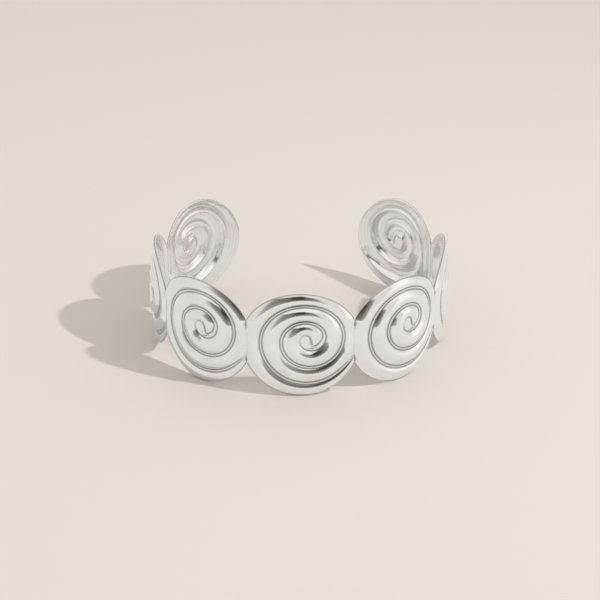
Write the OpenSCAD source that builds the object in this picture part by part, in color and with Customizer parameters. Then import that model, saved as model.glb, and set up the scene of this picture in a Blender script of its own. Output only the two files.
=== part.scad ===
// Open cuff bangle of seven spiral discs in a row, pressed from one sheet of metal.
// It lies on its side: the wrist goes through along Z, and the gap is at +Y.
// Each disc carries one spiral groove between rounded bands, and the back follows the front.

/* [Cuff] */
// Inside radius of the stretch across the front
front_radius = 32; // [28:0.5:38]
// Angle that the front stretch turns through on each side of its middle
front_angle = 36.5; // [30:0.5:42]
// Inside radius at the two sides, where the cuff bends most
side_radius = 24.9; // [22:0.1:30]
// Angle that each side turns through
side_angle = 65.7; // [55:0.1:75]
// Inside radius of the two stretches beside the gap
end_radius = 29.3; // [26:0.1:40]
// Thickness of the metal
metal_thickness = 0.8; // [0.6:0.1:1.6]

/* [Discs] */
// Number of discs in the row, an odd number
disc_count = 7; // [5:2:7]
// Height of a disc
disc_height = 22.5; // [18:0.1:26]
// Width of a disc along the cuff, before its neighbours cut it off
disc_width = 23.4; // [22.4:0.1:25]
// Distance from one disc's middle to the next along the cuff
disc_pitch = 21.2; // [20:0.1:22]
// How far the middle of a disc stands out past its rim
disc_dome = 1; // [0:0.05:1.4]
// How long the dome stays full before it falls to the rim
dome_fullness = 1.5; // [1:0.05:2]

/* [Spiral] */
// Distance of the spiral's middle from the disc's middle, along the cuff
spiral_x = 1.38; // [0:0.02:2]
// Distance of the spiral's middle above the disc's middle
spiral_z = 1.02; // [0:0.01:2]
// Middle distance of the groove from there where it starts
spiral_radius = 9.58; // [9.2:0.01:9.8]
// How much nearer the groove comes in the first turn
first_turn_step = 2.89; // [2.7:0.01:3.1]
// How much more it comes nearer in each later turn
turn_gain = 0.8; // [0.6:0.01:0.9]
// How far its first turn lies to the left, and below
sway_left = 0.52; // [0:0.01:0.8]
sway_down = 0.48; // [0:0.01:0.8]
// How far each turn lies to the right of the one before, and above it
drift_right = 0.39; // [0:0.01:0.6]
drift_up = 0.64; // [0:0.01:0.8]
// How much wider than high its turns are
spiral_oval = 0.11; // [0:0.01:0.3]
// How far the groove swings out at its end
end_swing = 0.25; // [0:0.01:0.4]
// Turn over which it does that, in degrees
swing_turn = 42; // [20:1:60]
// Turn over which the groove's start joins the spiral, in degrees
start_turn = 30; // [20:1:60]
// Width of the oval hollow that the groove ends in
eye_width = 2.15; // [1.6:0.05:2.4]
// Height of that hollow
eye_height = 3.25; // [2:0.05:3.6]
// How far the hollow leans to the left, in degrees
eye_tilt = 12; // [0:1:30]
// Turn over which the groove runs out into the hollow, in degrees
eye_mouth = 75; // [50:1:90]
// How far the hollow's middle lies to the left of the spiral's
eye_shift = 0.75; // [0.3:0.05:0.8]
// Distance from the spiral's middle within which the bands give way to that
eye_reach = 4.5; // [3.5:0.1:5]

/* [Relief] */
// Slope of a band's surface where it meets the groove
band_slope = 0.85; // [0.5:0.01:1]
// Share of the bands' height that the rim's band has
rim_share = 0.85; // [0.6:0.05:1]
// Level of the rim, measured outwards from the cuff's inside
rim_level = 0.3; // [0.1:0.02:0.5]
// Level of the middle of a neck
neck_level = 0.1; // [-0.1:0.02:0.5]
// Level of the bottom of the groove
groove_bottom = -0.2; // [-0.4:0.02:0]
// Turn over which the groove sinks to its full depth, in degrees
groove_fade = 30; // [15:1:60]
// Share of the bands' height that the back of the metal follows
back_share = 0.85; // [0.6:0.05:1]

/* [Mesh] */
// Steps of the outline along each neck
neck_steps = 5; // [5:1:7]
// Steps of the outline over the top and along the bottom of a disc
arc_steps = 8; // [7:1:10]
// Steps across a band on the front
front_rows = 6; // [4:2:6]
// Steps across a band on the back
back_rows = 3; // [3:1:4]

/* [Hidden] */

half_width = disc_width / 2;
half_height = disc_height / 2;
neck_x = disc_pitch / 2;
corner_angle = acos(neck_x / half_width);
neck_half = half_height * sin(corner_angle);
arc_turn = (180 - 2 * corner_angle) / arc_steps;

// The outline is numbered clockwise, seen from outside, from the step where the groove starts.
start_step = 1;
low_left = start_step + arc_steps;
high_left = low_left + neck_steps;
high_right = high_left + arc_steps;
spokes = high_right + neck_steps - start_step;

// The groove makes two turns and a little more, and the band beside it ends one turn later.
end_steps = 1;
groove_steps = 2 * spokes + end_steps;
band_steps = groove_steps + spokes;

last_disc = disc_count - 1;
middle_disc = last_disc / 2;

// Angles where the three stretches of the cuff meet, and the centres of their arcs.
front_length = front_radius * front_angle * PI / 180;
side_length = side_radius * side_angle * PI / 180;
outward_front = [sin(front_angle), -cos(front_angle)];
outward_side = [sin(front_angle + side_angle), -cos(front_angle + side_angle)];
front_centre = [0, front_radius];
side_centre = front_centre + (front_radius - side_radius) * outward_front;
end_centre = side_centre + (side_radius - end_radius) * outward_side;

// Heading of the cuff at a distance along it from the middle of the front.
function heading(s) =
    s < front_length ? s / front_radius * 180 / PI :
    s < front_length + side_length ? front_angle + (s - front_length) / side_radius * 180 / PI :
    front_angle + side_angle + (s - front_length - side_length) / end_radius * 180 / PI;

function arc_radius(s) =
    s < front_length ? front_radius :
    s < front_length + side_length ? side_radius : end_radius;

function arc_centre(s) =
    s < front_length ? front_centre :
    s < front_length + side_length ? side_centre : end_centre;

// Point of the cuff at a distance along it, a height, and a distance out from its inside.
function cuff_point(s, z, out) =
    let (
        a = heading(abs(s)),
        r = arc_radius(abs(s)) + out,
        c = arc_centre(abs(s))
    )
    [sign(s) * (c.x + r * sin(a)), c.y - r * cos(a), z + half_height];

// A disc's outline: down the right neck, along the bottom, up the left neck, over the top.
// A neck at the free end of the row is left round.
function neck_z(k) = neck_half * (2 * k / neck_steps - 1);

function neck_side_x(k, free) =
    free ? half_width * sqrt(1 - pow(neck_z(k) / half_height, 2)) : neck_x;

function oval_point(a) = [half_width * cos(a), half_height * sin(a)];

function right_k(j) = j <= start_step ? start_step - j : neck_steps - (j - high_right);

function outline(j, disc) =
    j <= start_step || j > high_right ?
        [neck_side_x(right_k(j), disc == last_disc), neck_z(right_k(j))] :
    j <= low_left ? oval_point(-corner_angle - (j - start_step) * arc_turn) :
    j <= high_left ?
        [-neck_side_x(j - low_left, disc == 0), neck_z(j - low_left)] :
    oval_point(180 - corner_angle - (j - high_left) * arc_turn);

// Level of the outline, which is another one in the middle of a neck.
function outline_level(j, disc) =
    let (
        right = j <= start_step || j > high_right,
        left = j > low_left && j < high_left,
        k = right ? right_k(j) : j - low_left,
        free = right ? disc == last_disc : disc == 0
    )
    (right || left) && !free ?
        rim_level + (neck_level - rim_level) * (1 - pow(neck_z(k) / neck_half, 2)) :
    rim_level;

// Clockwise angle of a step, counted on over all the turns.
function wrap(q) = q % spokes;

function raw_angle(p) = atan2(spiral_z - p.y, p.x - spiral_x);

function step_angle(q, disc) =
    let (
        start = raw_angle(outline(0, disc)),
        a = raw_angle(outline(wrap(q), disc))
    )
    a + 360 * floor(q / spokes) + (wrap(q) > 0 && a <= start ? 360 : 0);

function outline_radius(q, disc) =
    let (p = outline(wrap(q), disc)) norm([p.x - spiral_x, p.y - spiral_z]);

// The spiral's rule: its turns come nearer to the middle and drift up and to the right.
function spiral_at(a, turns) =
    spiral_radius - first_turn_step * turns - turn_gain * turns * (turns - 1)
    + (drift_right * turns - sway_left) * cos(a)
    + (sway_down - drift_up * turns) * sin(a)
    + spiral_oval * cos(2 * a);

function oval_radius(a) =
    1 / norm([2 * cos(a + eye_tilt) / eye_width, 2 * sin(a + eye_tilt) / eye_height]);

// Radius of the groove at a step. Past its end this is the edge of the oval hollow,
// which is wider where the groove runs into it.
function groove_radius(q, disc) =
    let (
        a = step_angle(q, disc),
        first = step_angle(0, disc),
        last = step_angle(groove_steps, disc),
        joining = pow(max(0, 1 - (a - first) / start_turn), 2),
        swinging = pow(max(0, 1 - (last - a) / swing_turn), 2),
        still_open = max(0, 1 - (a - last) / eye_mouth)
    )
    q < groove_steps ?
        spiral_at(a, (a - first) / 360)
        + joining * (outline_radius(0, disc) - spiral_at(first, 0))
        + swinging * end_swing :
    oval_radius(a)
    + (spiral_at(last, (last - first) / 360) + end_swing - oval_radius(last))
    * pow(still_open, 2) * (3 - still_open) / 2;

function groove_level(q, disc) =
    groove_bottom + (outline_level(0, disc) - groove_bottom)
    * pow(max(0, 1 - (step_angle(q, disc) - step_angle(0, disc)) / groove_fade), 2);

// A band runs between the outline, or the groove one turn before, and the groove.
function outer_radius(q, disc) =
    q < spokes ? outline_radius(q, disc) : groove_radius(q - spokes, disc);

function outer_level(q, disc) =
    q < spokes ? outline_level(q, disc) : groove_level(q - spokes, disc);

// The eye lies a little to the left of the spiral's middle, so the centre slides there.
function disc_point(q, radius, disc) =
    let (
        a = step_angle(q, disc),
        shift = eye_shift * pow(max(0, 1 - radius / eye_reach), 2)
    )
    [spiral_x - shift + radius * cos(a), spiral_z - radius * sin(a)];

function dome(p) =
    disc_dome * max(0, 1 - pow(norm([p.x / half_width, p.y / half_height]), 2 * dome_fullness));

// Level of the front and the back of a band at a share t of the way across it, between the
// levels at its two sides. Its middle lies higher by the rise.
function front_level(t, rise, outer, inner) =
    let (crest = (outer + inner) / 2 + rise)
    crest - (crest - (t < 0.5 ? outer : inner)) * pow(1 - 2 * t, 2);

function back_level(t, rise, outer, inner) =
    let (crest = (outer + inner) / 2 + back_share * rise)
    crest - (crest - (t < 0.5 ? outer : inner)) * pow(cos(180 * t), 2);

function surface_point(disc, p, level, front) =
    cuff_point(
        (disc - middle_disc) * disc_pitch + p.x,
        p.y,
        dome(p) + level + (front ? metal_thickness : 0)
    );

function band_point(disc, q, t, front) =
    let (
        outer = outer_radius(q, disc),
        inner = groove_radius(q, disc),
        sides = [outer_level(q, disc), groove_level(q, disc)],
        w = outer - inner,
        rise = band_slope * (q < spokes ? rim_share : 1) * w / 4,
        p = disc_point(q, outer - t * w, disc)
    )
    surface_point(
        disc, p,
        front ? front_level(t, rise, sides[0], sides[1]) : back_level(t, rise, sides[0], sides[1]),
        front
    );

// Points of one face of one disc: the bands row by row, the edge of the eye, and its middle.
function face_points(disc, rows, front) = [
    for (q = [0 : band_steps - 1], m = [0 : rows - 1]) band_point(disc, q, m / rows, front),
    for (q = [groove_steps : band_steps - 1]) band_point(disc, q, 1, front),
    surface_point(disc, disc_point(0, 0, disc), groove_bottom, front)
];

function face_size(rows) = band_steps * rows + spokes + 1;

// Number of a point. A row's last point is the first one of the row one turn later,
// and the points of a right neck are those of the next disc's left neck.
function point_id(disc, q, m, rows) =
    let (base = disc * face_size(rows))
    q >= band_steps ? base + band_steps * rows :
    m == rows ?
        (q < groove_steps ?
            point_id(disc, q + spokes, 0, rows) :
            base + band_steps * rows + q - groove_steps) :
    q == 0 || (q == spokes && m == 0) ? outline_id(disc, 0, rows) :
    q < spokes && m == 0 ? outline_id(disc, q, rows) :
    base + q * rows + m;

function outline_id(disc, j, rows) =
    (j <= start_step || j >= high_right) && disc < last_disc ?
        (disc + 1) * face_size(rows) + (low_left + right_k(j)) * rows :
    disc * face_size(rows) + j * rows;

function triangle(a, b, c) = a == b || b == c || c == a ? [] : [[a, b, c]];

// Triangles of one face of one disc, clockwise as seen from outside.
function face_triangles(disc, rows) = [
    for (q = [0 : band_steps - 1], m = [0 : rows - 1])
        let (
            a = point_id(disc, q, m, rows),
            b = point_id(disc, q + 1, m, rows),
            c = point_id(disc, q + 1, m + 1, rows),
            d = point_id(disc, q, m + 1, rows)
        )
        each concat(triangle(a, b, c), triangle(a, c, d)),
    for (j = [0 : spokes - 1])
        [
            point_id(disc, groove_steps + j, rows, rows),
            point_id(disc, j + 1 < spokes ? groove_steps + j + 1 : groove_steps, rows, rows),
            disc * face_size(rows) + face_size(rows) - 1
        ]
];

function reversed(faces, offset) = [for (f = faces) [f[2] + offset, f[1] + offset, f[0] + offset]];

// Triangles of a disc's edge, along the free stretches of its outline.
function edge_triangles(disc, offset) = [
    for (j = [0 : spokes - 1])
        let (
            right = j < start_step || j >= high_right,
            left = j >= low_left && j < high_left,
            free = !(right || left) || (right && disc == last_disc) || (left && disc == 0),
            next = (j + 1) % spokes,
            front_a = outline_id(disc, j, front_rows),
            front_b = outline_id(disc, next, front_rows),
            back_a = outline_id(disc, j, back_rows) + offset,
            back_b = outline_id(disc, next, back_rows) + offset
        )
        if (free) each [[back_a, back_b, front_b], [back_a, front_b, front_a]]
];

module cuff() {
    discs = [0 : last_disc];
    back_start = disc_count * face_size(front_rows);
    raw_points = concat(
        [for (d = discs) each face_points(d, front_rows, true)],
        [for (d = discs) each face_points(d, back_rows, false)]
    );
    faces = concat(
        [for (d = discs) each face_triangles(d, front_rows)],
        [for (d = discs) each reversed(face_triangles(d, back_rows), back_start)],
        [for (d = discs) each edge_triangles(d, back_start)]
    );
    xs = [for (p = raw_points) p.x];
    ys = [for (p = raw_points) p.y];
    // The origin is under the middle of the cuff, on the surface it lies on.
    color("silver")
        translate([-(min(xs) + max(xs)) / 2, -(min(ys) + max(ys)) / 2, 0])
            polyhedron(points = raw_points, faces = faces, convexity = 12);
}

cuff();
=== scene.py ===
import math

import bpy
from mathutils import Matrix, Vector


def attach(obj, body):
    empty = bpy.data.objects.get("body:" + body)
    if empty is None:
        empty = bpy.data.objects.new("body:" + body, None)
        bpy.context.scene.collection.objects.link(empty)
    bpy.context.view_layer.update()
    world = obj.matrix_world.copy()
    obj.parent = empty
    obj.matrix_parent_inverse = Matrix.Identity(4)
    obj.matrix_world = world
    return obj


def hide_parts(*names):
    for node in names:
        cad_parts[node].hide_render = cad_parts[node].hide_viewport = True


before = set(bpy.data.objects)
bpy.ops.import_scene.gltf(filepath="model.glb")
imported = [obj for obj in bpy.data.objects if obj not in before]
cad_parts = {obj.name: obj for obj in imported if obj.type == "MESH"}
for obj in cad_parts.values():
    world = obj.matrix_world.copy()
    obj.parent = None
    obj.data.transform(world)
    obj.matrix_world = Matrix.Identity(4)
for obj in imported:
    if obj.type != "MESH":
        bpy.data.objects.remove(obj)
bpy.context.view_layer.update()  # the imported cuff, in metres, lying on z = 0
millimetre = 0.001
fullTurn = 2 * math.pi


def resultOf(node):
    # the first output that a node's settings leave in use
    return next(output for output in node.outputs if output.enabled)


def addNode(tree, kind, *inputs, **settings):
    # adds one node, sets its properties, then links or sets its inputs in order
    node = tree.nodes.new(kind)
    for name, value in settings.items():
        setattr(node, name, value)
    sockets = [socket for socket in node.inputs if socket.enabled]
    for socket, value in zip(sockets, inputs):
        if isinstance(value, bpy.types.Node):
            value = resultOf(value)
        if isinstance(value, bpy.types.NodeSocket):
            tree.links.new(value, socket)
        elif value is not None:
            socket.default_value = value
    return node


def directionOf(tree, angle):
    # the cosine and the sine of an angle
    return [addNode(tree, "ShaderNodeMath", angle, operation=part) for part in ("COSINE", "SINE")]


def lengthOf(tree, across, along):
    # how far a flat step reaches
    step = addNode(tree, "ShaderNodeCombineXYZ", across, along)
    return addNode(tree, "ShaderNodeVectorMath", step, operation="LENGTH")


def linear(hexColour):
    # an sRGB hex colour as linear RGBA
    parts = [int(hexColour[i:i + 2], 16) / 255 for i in (1, 3, 5)]
    return [c / 12.92 if c <= 0.04045 else ((c + 0.055) / 1.055) ** 2.4 for c in parts] + [1.0]


# The cuff: lengths in mm, and slopes, shares and powers as plain numbers.
# They are the CAD solid's sizes, and those of the forms that are too fine for it.
cuff = {
    "Disc count": 7,
    "Disc pitch": 21.2,
    "Disc width": 23.4,
    "Disc height": 22.5,
    "Disc dome": 1.0,
    "Dome fullness": 1.5,
    "Metal thickness": 0.8,
    "Edge thickness": 0.32,
    "Back rounding": 0.18,
    "Rounding reach": 0.45,
    "Edge roundness": 0.08,
    # how much painted shade and tarnish lies on the edge, most on its side towards the front
    "Edge shade and tarnish": 1.1,
    "Front radius": 32.0,
    "Side radius": 24.9,
    "End radius": 29.3,
    "Spiral x": 1.38,
    "Spiral z": 1.02,
    "Spiral radius": 9.585,
    "First turn step": 2.894,
    "Turn gain": 0.803,
    "Sway left": 0.52,
    "Sway down": 0.484,
    "Drift right": 0.385,
    "Drift up": 0.639,
    "Spiral oval": 0.107,
    "End swing": 0.25,
    "Eye width": 2.15,
    "Eye height": 3.25,
    "Eye shift": 0.75,
    "Eye reach": 4.5,
    "Eye level": 0.14,
    "Eye lip": 0.25,
    # how much less painted shade and tarnish lies in the crease along the eye's lip
    "Lip shade lessening": 0.6,
    "Closing sharpness": 3.0,
    "Band slope": 0.84,
    "Rim slope": 0.56,
    "Rim level": 0.3,
    "Neck level": 0.1,
    "Fold reach": 0.9,
    # how dark the painted shade in the fold between two discs is
    "Fold shade": 3.0,
    "Rim line": 0.22,
    # how dark the painted shade and tarnish along the rim's line is
    "Rim shade and tarnish": 0.65,
    "Groove level": -0.3,
    "Groove floor": 0.2,
    "Crease softness": 0.05,
    "Crease width": 0.3,
    "Bead half width": 0.26,
    "Bead height": 0.1,
    "Bead widening": 0.25,
    "Back slope": 0.8,
    "Back rim slope": 0.2,
    "Back rim fullness": 3.0,
}
# Its angles in degrees: of the arcs round the wrist, and along the groove and the eye's edge.
cuffAngles = {
    "Front angle": 36.5,
    "Side angle": 65.7,
    "End angle": 180.0,
    "Groove start turn": 30.0,
    "Groove fade": 30.0,
    "Swing turn": 42.0,
    "Bead spread": 80.0,
    "Eye tilt": 12.0,
    "Eye mouth": 75.0,
    "Eye closing": 14.0,
    "Lip start": 80.0,
    "Lip end": 295.0,
}
# How finely it is cut up: steps round the outline, where the groove starts and ends on it,
# the step angle that is put on a neck's corner, rows of faces, and small safe values.
mesh = {
    "steps": 120,
    "startAngle": -15.0,
    "cornerAngle": 24.0,
    "endSteps": 3,
    "frontRows": 22,
    "creaseRows": 3,
    "backRows": 9,
    "frontEyeRows": 7,
    "backEyeRows": 2,
    "edgeRows": 6,
    "widestCreaseRow": 0.08,
    "leastWidth": 0.01,
    "leastPillow": 0.05,
    "leastFold": 0.001,
    "leastCut": 0.0001,
    "equalWithin": 0.1,
    "mergeDistance": 0.012,
}
grooveSteps = 2 * mesh["steps"] + mesh["endSteps"]
sheetNames = ["front band", "front eye", "edge", "back band", "back eye"]


def flatSheets(tree):
    # Five flat sheets for one disc. A point's x is its step round the outline,
    # its y the share of the way across, and its z tells which sheet it is on.
    turn = mesh["steps"]
    cuts = {
        # first step, steps, rows
        "front band": (0, grooveSteps + turn, mesh["frontRows"]),
        "front eye": (grooveSteps, turn, mesh["frontEyeRows"]),
        "edge": (0, turn, mesh["edgeRows"]),
        "back band": (0, grooveSteps + turn, mesh["backRows"]),
        "back eye": (grooveSteps, turn, mesh["backEyeRows"]),
    }
    joined = addNode(tree, "GeometryNodeJoinGeometry")
    for code, name in enumerate(sheetNames):
        first, steps, rows = cuts[name]
        grid = addNode(tree, "GeometryNodeMeshGrid", steps, 1.0, steps + 1, rows + 1)
        sheet = addNode(tree, "GeometryNodeTransform", grid, (first + steps / 2, 0.5, code))
        if name.startswith("front"):
            sheet = addNode(tree, "GeometryNodeFlipFaces", sheet)  # its faces then point outwards
        tree.links.new(resultOf(sheet), joined.inputs["Geometry"])
    return joined


def addNeckSizes(tree, size, disc):
    # half sizes of a disc and of its face inside the rounded edge
    for way in ("width", "height"):
        half = addNode(tree, "ShaderNodeMath", size["Disc " + way], 0.5, operation="MULTIPLY")
        size["half " + way] = half
        size["face half " + way] = addNode(tree, "ShaderNodeMath", half, size["Edge roundness"],
                                           operation="SUBTRACT")
    # a neighbour cuts a disc off at the neck, but not at the two free ends
    neckX = addNode(tree, "ShaderNodeMath", size["Disc pitch"], 0.5, operation="MULTIPLY")
    last = addNode(tree, "ShaderNodeMath", size["Disc count"], 1.0, operation="SUBTRACT")
    for name, free, way in (("right limit", last, 1.0), ("left limit", 0.0, -1.0)):
        isFree = addNode(tree, "ShaderNodeMath", disc, free, mesh["equalWithin"],
                         operation="COMPARE")
        limit = addNode(tree, "ShaderNodeMath", isFree, size["Disc width"], neckX,
                        operation="MULTIPLY_ADD")
        size[name] = addNode(tree, "ShaderNodeMath", limit, way, operation="MULTIPLY")
    size["last disc"] = last
    # the steps round the outline are warped a little, which puts one on each corner of a neck
    gridCorner = math.radians(mesh["cornerAngle"])
    cornerCosine = addNode(tree, "ShaderNodeMath", neckX, size["face half width"],
                           operation="DIVIDE")
    corner = addNode(tree, "ShaderNodeMath", cornerCosine, operation="ARCCOSINE")
    ahead = addNode(tree, "ShaderNodeMath", corner, gridCorner, operation="SUBTRACT")
    size["warp"] = addNode(tree, "ShaderNodeMath", ahead, 1 / math.sin(2 * gridCorner),
                           operation="MULTIPLY")
    cornerSine = addNode(tree, "ShaderNodeMath", corner, operation="SINE")
    size["corner height"] = addNode(tree, "ShaderNodeMath", cornerSine, size["face half height"],
                                    operation="MULTIPLY")


def outlineAt(tree, size, step):
    # a point of a disc's outline, clockwise from the right neck, where its neighbours cut it off
    grid = fullTurn / mesh["steps"]
    start = math.radians(mesh["startAngle"])
    even = addNode(tree, "ShaderNodeMath", step, -grid, start, operation="MULTIPLY_ADD")
    twice = addNode(tree, "ShaderNodeMath", even, 2.0, operation="MULTIPLY")
    wave = addNode(tree, "ShaderNodeMath", twice, operation="SINE")
    turn = addNode(tree, "ShaderNodeMath", wave, size["warp"], even, operation="MULTIPLY_ADD")
    cosine, sine = directionOf(tree, turn)
    ovalX = addNode(tree, "ShaderNodeMath", cosine, size["face half width"],
                    operation="MULTIPLY")
    z = addNode(tree, "ShaderNodeMath", sine, size["face half height"], operation="MULTIPLY")
    right = addNode(tree, "ShaderNodeMath", ovalX, size["right limit"], operation="MINIMUM")
    x = addNode(tree, "ShaderNodeMath", right, size["left limit"], operation="MAXIMUM")
    # how much its neighbour cuts off here, which is more than nothing only on a neck
    cut = addNode(tree, "ShaderNodeMath", ovalX, x, operation="SUBTRACT")
    cutOff = addNode(tree, "ShaderNodeMath", cut, operation="ABSOLUTE")
    onNeck = addNode(tree, "ShaderNodeMath", cutOff, mesh["leastCut"], operation="GREATER_THAN")
    # the metal is a little higher in the middle of a neck
    share = addNode(tree, "ShaderNodeMath", z, size["corner height"], operation="DIVIDE")
    square = addNode(tree, "ShaderNodeMath", share, share, operation="MULTIPLY")
    hump = addNode(tree, "ShaderNodeMath", 1.0, square, operation="SUBTRACT", use_clamp=True)
    extra = addNode(tree, "ShaderNodeMath", size["Neck level"], size["Rim level"],
                    operation="SUBTRACT")
    neckHump = addNode(tree, "ShaderNodeMath", hump, onNeck, operation="MULTIPLY")
    level = addNode(tree, "ShaderNodeMath", neckHump, extra, size["Rim level"],
                    operation="MULTIPLY_ADD")
    # two discs meet in a fold, which is deepest at the ends of the neck
    deep = addNode(tree, "ShaderNodeMath", square, square, operation="MULTIPLY")
    fold = addNode(tree, "ShaderNodeMath", deep, onNeck, operation="MULTIPLY", use_clamp=True)
    # seen from the middle of the spiral: a clockwise angle, counted on over the turns, and a radius
    across = addNode(tree, "ShaderNodeMath", x, size["Spiral x"], operation="SUBTRACT")
    down = addNode(tree, "ShaderNodeMath", size["Spiral z"], z, operation="SUBTRACT")
    raw = addNode(tree, "ShaderNodeMath", down, across, operation="ARCTAN2")
    counted = addNode(tree, "ShaderNodeMath", step, grid, -start, operation="MULTIPLY_ADD")
    ahead = addNode(tree, "ShaderNodeMath", raw, counted, operation="SUBTRACT")
    small = addNode(tree, "ShaderNodeMath", ahead, math.pi, -math.pi, operation="WRAP")
    angle = addNode(tree, "ShaderNodeMath", counted, small, operation="ADD")
    # outward direction of the edge
    normalX = addNode(tree, "ShaderNodeMath", cosine, size["face half height"],
                      operation="MULTIPLY")
    normalZ = addNode(tree, "ShaderNodeMath", sine, size["face half width"],
                      operation="MULTIPLY")
    outward = addNode(tree, "ShaderNodeCombineXYZ", normalX, 0.0, normalZ)
    normal = addNode(tree, "ShaderNodeVectorMath", outward, operation="NORMALIZE")
    place = addNode(tree, "ShaderNodeCombineXYZ", ovalX, 0.0, z)
    return {"place": place, "normal": normal, "angle": angle, "level": level, "fold": fold,
            "radius": lengthOf(tree, across, down), "onNeck": onNeck}


def spiralAt(tree, size, angle):
    # the spiral's plain rule: its turns come nearer and drift up and to the right
    gone = addNode(tree, "ShaderNodeMath", angle, size["start angle"], operation="SUBTRACT")
    turns = addNode(tree, "ShaderNodeMath", gone, fullTurn, operation="DIVIDE")
    firstStep = addNode(tree, "ShaderNodeMath", turns, size["First turn step"],
                        operation="MULTIPLY")
    oneLess = addNode(tree, "ShaderNodeMath", turns, 1.0, operation="SUBTRACT")
    laterTurns = addNode(tree, "ShaderNodeMath", turns, oneLess, operation="MULTIPLY")
    steps = addNode(tree, "ShaderNodeMath", laterTurns, size["Turn gain"], firstStep,
                    operation="MULTIPLY_ADD")
    even = addNode(tree, "ShaderNodeMath", size["Spiral radius"], steps, operation="SUBTRACT")
    cosine, sine = directionOf(tree, angle)
    drift = addNode(tree, "ShaderNodeMath", turns, size["Drift right"], operation="MULTIPLY")
    rightwards = addNode(tree, "ShaderNodeMath", drift, size["Sway left"], operation="SUBTRACT")
    driftUp = addNode(tree, "ShaderNodeMath", turns, size["Drift up"], operation="MULTIPLY")
    downwards = addNode(tree, "ShaderNodeMath", size["Sway down"], driftUp,
                        operation="SUBTRACT")
    shiftedX = addNode(tree, "ShaderNodeMath", cosine, rightwards, even,
                       operation="MULTIPLY_ADD")
    shifted = addNode(tree, "ShaderNodeMath", sine, downwards, shiftedX,
                      operation="MULTIPLY_ADD")
    twice = addNode(tree, "ShaderNodeMath", angle, 2.0, operation="MULTIPLY")
    oval = addNode(tree, "ShaderNodeMath", twice, operation="COSINE")
    return addNode(tree, "ShaderNodeMath", oval, size["Spiral oval"], shifted,
                   operation="MULTIPLY_ADD")


def ovalAt(tree, size, angle):
    # radius of the oval eye, which leans a little
    leant = addNode(tree, "ShaderNodeMath", angle, size["Eye tilt"], operation="ADD")
    cosine, sine = directionOf(tree, leant)
    wide = addNode(tree, "ShaderNodeMath", cosine, size["Eye width"], operation="DIVIDE")
    high = addNode(tree, "ShaderNodeMath", sine, size["Eye height"], operation="DIVIDE")
    return addNode(tree, "ShaderNodeMath", 0.5, lengthOf(tree, wide, high), operation="DIVIDE")


def windingAt(tree, size, angle, gone, rest):
    # the groove as far as the eye: it starts on the outline and soon joins the spiral
    gap = addNode(tree, "ShaderNodeMath", size["start radius"],
                  spiralAt(tree, size, size["start angle"]), operation="SUBTRACT")
    startShare = addNode(tree, "ShaderNodeMath", gone, size["Groove start turn"],
                         operation="DIVIDE", use_clamp=True)
    startLeft = addNode(tree, "ShaderNodeMath", 1.0, startShare, operation="SUBTRACT")
    startFade = addNode(tree, "ShaderNodeMath", startLeft, startLeft, operation="MULTIPLY")
    joined = addNode(tree, "ShaderNodeMath", startFade, gap, spiralAt(tree, size, angle),
                     operation="MULTIPLY_ADD")
    # it swings out a little before its end
    ending = addNode(tree, "ShaderNodeMapRange", rest, size["Swing turn"], 0.0, 0.0, 1.0)
    endingFast = addNode(tree, "ShaderNodeMath", ending, ending, operation="MULTIPLY")
    return addNode(tree, "ShaderNodeMath", endingFast, size["End swing"], joined,
                   operation="MULTIPLY_ADD")


def eyeEdgeAt(tree, size, angle, pastEnd):
    # the edge of the oval eye, with a mouth where the groove runs in, and how open the mouth is
    stillOpen = addNode(tree, "ShaderNodeMapRange", pastEnd, 0.0, size["Eye mouth"], 1.0, 0.0)
    openSquare = addNode(tree, "ShaderNodeMath", stillOpen, stillOpen, operation="MULTIPLY")
    easing = addNode(tree, "ShaderNodeMath", stillOpen, -0.5, 1.5, operation="MULTIPLY_ADD")
    opened = addNode(tree, "ShaderNodeMath", openSquare, easing, operation="MULTIPLY")
    closingStart = addNode(tree, "ShaderNodeMath", fullTurn, size["Eye closing"],
                           operation="SUBTRACT")
    closed = addNode(tree, "ShaderNodeMapRange", pastEnd, closingStart, fullTurn, 0.0, 1.0)
    closedFast = addNode(tree, "ShaderNodeMath", closed, size["Closing sharpness"],
                         operation="POWER")
    mouth = addNode(tree, "ShaderNodeMath", opened, closedFast, operation="MAXIMUM")
    endRadius = addNode(tree, "ShaderNodeMath", spiralAt(tree, size, size["end angle"]),
                        size["End swing"], operation="ADD")
    mouthGap = addNode(tree, "ShaderNodeMath", endRadius,
                       ovalAt(tree, size, size["end angle"]), operation="SUBTRACT")
    radius = addNode(tree, "ShaderNodeMath", mouthGap, mouth, ovalAt(tree, size, angle),
                     operation="MULTIPLY_ADD")
    return radius, opened


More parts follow.
